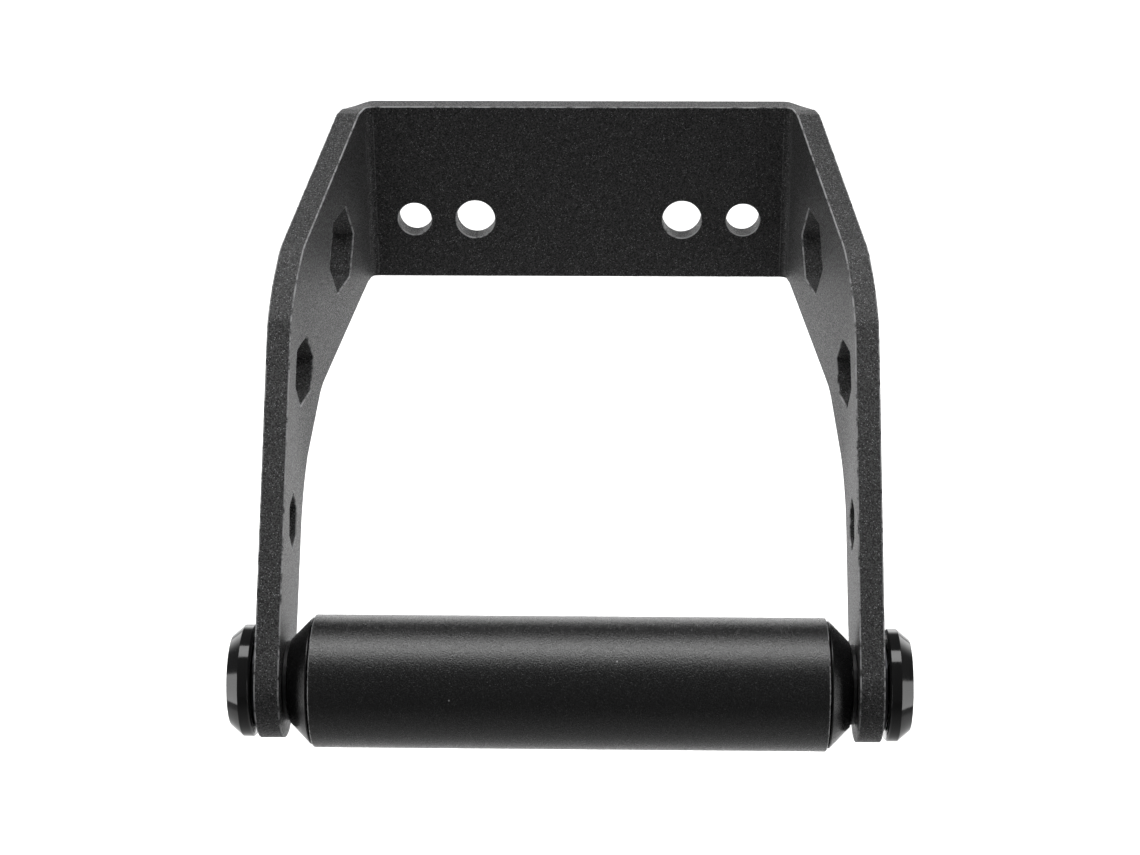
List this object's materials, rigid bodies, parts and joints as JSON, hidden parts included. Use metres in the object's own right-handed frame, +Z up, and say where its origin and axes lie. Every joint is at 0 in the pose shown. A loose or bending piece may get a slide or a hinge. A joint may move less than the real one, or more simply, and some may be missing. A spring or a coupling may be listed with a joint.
{
  "type": "roller handle bracket",
  "caption": "Thick plate bent into a flared U with hexagonal holes in its arms, holding a coned grip that spins on ball bearings between the arm ends.",
  "frame": {"origin": "centre of the web's back face, where the bracket bolts on", "axes": "+X along the grip, +Y out of the web's back face, +Z up"},
  "size_m": [0.1628, 0.135, 0.126],
  "materials": {
    "powder_coat": "fine textured black powder coat",
    "anodised_grip": "satin black anodised",
    "gloss_head": "gloss black",
    "bearing_steel": "ground and polished",
    "zinc_steel": "zinc plated",
    "black_steel": "black oxide",
    "black_polymer": "self-lubricating black plastic",
    "felt": "pressed felt"
  },
  "bodies": {
    "bracket": {"bracket": "powder_coat", "axle_shaft": "bearing_steel", "inner_spacer": "zinc_steel", "bearing_inner_ring_left": "bearing_steel", "bearing_inner_ring_right": "bearing_steel", "distance_sleeve_left": "zinc_steel", "distance_sleeve_right": "zinc_steel", "arm_bush_left": "black_polymer", "arm_bush_right": "black_polymer", "head_washer_left": "black_steel", "head_washer_right": "black_steel", "axle_screw_left": "gloss_head", "axle_screw_right": "gloss_head"},
    "grip": {"roller_tube": "anodised_grip", "end_cone_left": "anodised_grip", "end_cone_right": "anodised_grip", "felt_seal_left": "felt", "felt_seal_right": "felt", "bearing_outer_ring_left": "bearing_steel", "bearing_outer_ring_right": "bearing_steel", "bearing_shield_inner_left": "zinc_steel", "bearing_shield_inner_right": "zinc_steel", "bearing_shield_outer_left": "zinc_steel", "bearing_shield_outer_right": "zinc_steel"},
    "ball_row_left": {"ball_row_left": "bearing_steel"},
    "ball_row_right": {"ball_row_right": "bearing_steel"}
  },
  "joints": [
    {"name": "grip_spin", "type": "hinge", "parent": "bracket", "child": "grip", "pos_m": [0, -0.119, -0.086], "axis": [1, 0, 0], "continuous": true},
    {"name": "ball_row_left_spin", "type": "hinge", "parent": "bracket", "child": "ball_row_left", "pos_m": [-0.055, -0.119, -0.086], "axis": [1, 0, 0], "continuous": true},
    {"name": "ball_row_right_spin", "type": "hinge", "parent": "bracket", "child": "ball_row_right", "pos_m": [0.055, -0.119, -0.086], "axis": [1, 0, 0], "continuous": true}
  ],
  "couplings": [
    {"joint": "ball_row_left_spin", "follows": "grip_spin", "ratio": 0.5874},
    {"joint": "ball_row_right_spin", "follows": "grip_spin", "ratio": 0.5874}
  ]
}
